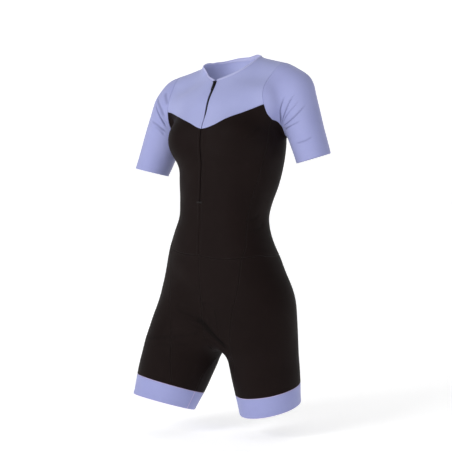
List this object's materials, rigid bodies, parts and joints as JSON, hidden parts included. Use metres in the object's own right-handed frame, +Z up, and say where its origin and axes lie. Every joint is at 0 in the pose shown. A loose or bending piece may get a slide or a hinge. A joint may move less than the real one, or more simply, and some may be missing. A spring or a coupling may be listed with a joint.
{
  "type": "triathlon suit",
  "caption": "Short-sleeved one-piece race suit with short legs, a contrast yoke, sleeves and leg bands, and a front zip from the neck with a hinged pull tab.",
  "frame": {"origin": "halfway between the two shoulder ends of the neckline, inside the neck opening", "axes": "-Y out of the chest, +X to the wearer's left, +Z up"},
  "size_m": [0.5145, 0.2587, 0.8671],
  "materials": {
    "lavender_cloth": "matte fine knit",
    "sleeve_cloth": "matte fine knit",
    "black_cloth": "smooth stretch knit",
    "band_cloth": "smooth elastic band",
    "binding_cloth": "folded binding",
    "bar_tack": "dense stitching",
    "zip_plastic": "moulded"
  },
  "bodies": {
    "suit": {"yoke_front_left": "lavender_cloth", "yoke_front_right": "lavender_cloth", "yoke_back": "lavender_cloth", "bodice_front_left": "black_cloth", "bodice_front_right": "black_cloth", "side_panel_left": "black_cloth", "side_panel_right": "black_cloth", "bodice_back": "black_cloth", "shorts_front_left": "black_cloth", "shorts_front_right": "black_cloth", "shorts_side_left": "black_cloth", "shorts_side_right": "black_cloth", "shorts_back_left": "black_cloth", "shorts_back_right": "black_cloth", "sleeve_left": "sleeve_cloth", "sleeve_right": "sleeve_cloth", "leg_band_left": "band_cloth", "leg_band_right": "band_cloth", "neck_binding": "binding_cloth", "zip_chain": "zip_plastic", "zip_stop_bar": "bar_tack", "zip_slider": "zip_plastic"},
    "pull_tab": {"zip_pull": "zip_plastic"}
  },
  "joints": [
    {"name": "pull_tab_hinge", "type": "hinge", "parent": "suit", "child": "pull_tab", "pos_m": [-0.00012, -0.0738, -0.06119], "axis": [-0.9999, 0.016, 0], "range_deg": [0, 150]}
  ]
}
